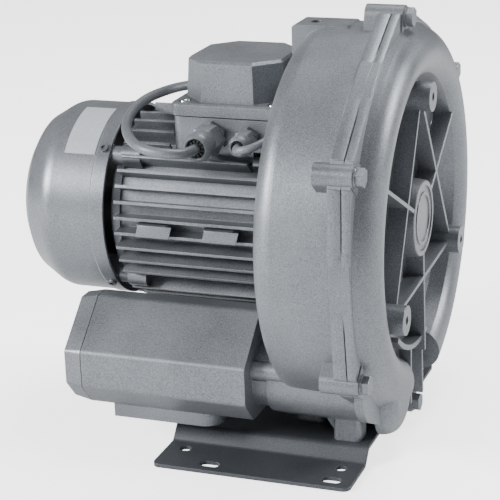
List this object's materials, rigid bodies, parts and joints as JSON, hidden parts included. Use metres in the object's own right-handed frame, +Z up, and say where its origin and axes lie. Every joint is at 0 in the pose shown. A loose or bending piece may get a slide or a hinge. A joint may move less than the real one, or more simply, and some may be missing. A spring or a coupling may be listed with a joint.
{
  "type": "side channel blower",
  "caption": "Side channel blower with a finned flange motor, ring-shaped casing, two silencers with threaded ports and a sheet foot.",
  "frame": {"origin": "on the floor, in the middle of the foot's four round holes", "axes": "+X along the shaft towards the pump cover, +Y to the side of the inlet silencer, +Z up"},
  "size_m": [0.3297, 0.309, 0.3498],
  "materials": {
    "painted_casting": "satin",
    "painted_sheet": "satin",
    "zinc_steel": "satin",
    "bright_screw": "gloss",
    "bearing_steel": "gloss",
    "core_steel": "matt",
    "copper_winding": "gloss",
    "impeller_aluminium": "satin",
    "black_plastic": "matt",
    "brass": "satin",
    "painted_gland": "satin",
    "painted_lead": "satin",
    "seal_rubber": "matt",
    "foam": "matt",
    "plate_film": "satin"
  },
  "bodies": {
    "machine": {"capacitor_box": "painted_casting", "capacitor_box_lid": "painted_casting", "capacitor_box_screws": "zinc_steel", "capacitor_gland_bodies": "painted_gland", "capacitor_gland_cap_nuts": "painted_gland", "capacitors": "black_plastic", "casing_bolt_washers": "zinc_steel", "casing_bolts": "zinc_steel", "casing_cover": "painted_casting", "casing_motor_side": "painted_casting", "cowl_screws": "zinc_steel", "endshield_screws": "zinc_steel", "fan_cowl": "painted_casting", "far_port_flange": "painted_casting", "far_silencer_body": "painted_casting", "far_silencer_liner": "foam", "far_silencer_screws": "zinc_steel", "far_silencer_seals": "seal_rubber", "foot_bolts": "zinc_steel", "foot_bracket": "painted_sheet", "front_bearing_outer_ring": "bearing_steel", "housing_screws": "zinc_steel", "large_gland_body": "painted_gland", "large_gland_cap_nut": "painted_gland", "large_lead": "painted_lead", "motor_housing": "painted_casting", "near_port_flange": "painted_casting", "near_silencer_body": "painted_casting", "near_silencer_liner": "foam", "near_silencer_screws": "zinc_steel", "near_silencer_seals": "seal_rubber", "rating_plate_blank": "plate_film", "rear_bearing_outer_ring": "bearing_steel", "rear_endshield": "painted_casting", "shaft_seal": "seal_rubber", "small_gland_body": "painted_gland", "small_gland_cap_nut": "painted_gland", "small_lead": "painted_lead", "stator_core": "core_steel", "stator_winding": "copper_winding", "terminal_block": "black_plastic", "terminal_box_base": "painted_casting", "terminal_box_gasket": "seal_rubber", "terminal_box_lid": "painted_casting", "terminal_box_screws": "zinc_steel", "terminal_lid_screws": "bright_screw", "terminal_links": "brass", "terminal_studs": "brass"},
    "rotor": {"shaft": "bearing_steel", "rotor_core": "core_steel", "impeller": "impeller_aluminium", "impeller_key": "zinc_steel", "impeller_washer": "zinc_steel", "impeller_bolt": "zinc_steel", "cooling_fan": "black_plastic", "fan_clip": "zinc_steel", "front_bearing_inner_ring": "bearing_steel", "rear_bearing_inner_ring": "bearing_steel"},
    "front_ball_set": {"front_bearing_balls": "bearing_steel"},
    "rear_ball_set": {"rear_bearing_balls": "bearing_steel"}
  },
  "joints": [
    {"name": "rotor_spin", "type": "hinge", "parent": "machine", "child": "rotor", "pos_m": [0, 0, 0.18], "axis": [1, 0, 0], "continuous": true},
    {"name": "front_cage_spin", "type": "hinge", "parent": "machine", "child": "front_ball_set", "pos_m": [0, 0, 0.18], "axis": [1, 0, 0], "continuous": true},
    {"name": "rear_cage_spin", "type": "hinge", "parent": "machine", "child": "rear_ball_set", "pos_m": [0, 0, 0.18], "axis": [1, 0, 0], "continuous": true}
  ],
  "couplings": [
    {"joint": "front_cage_spin", "follows": "rotor_spin", "ratio": 0.387},
    {"joint": "rear_cage_spin", "follows": "rotor_spin", "ratio": 0.3701}
  ]
}
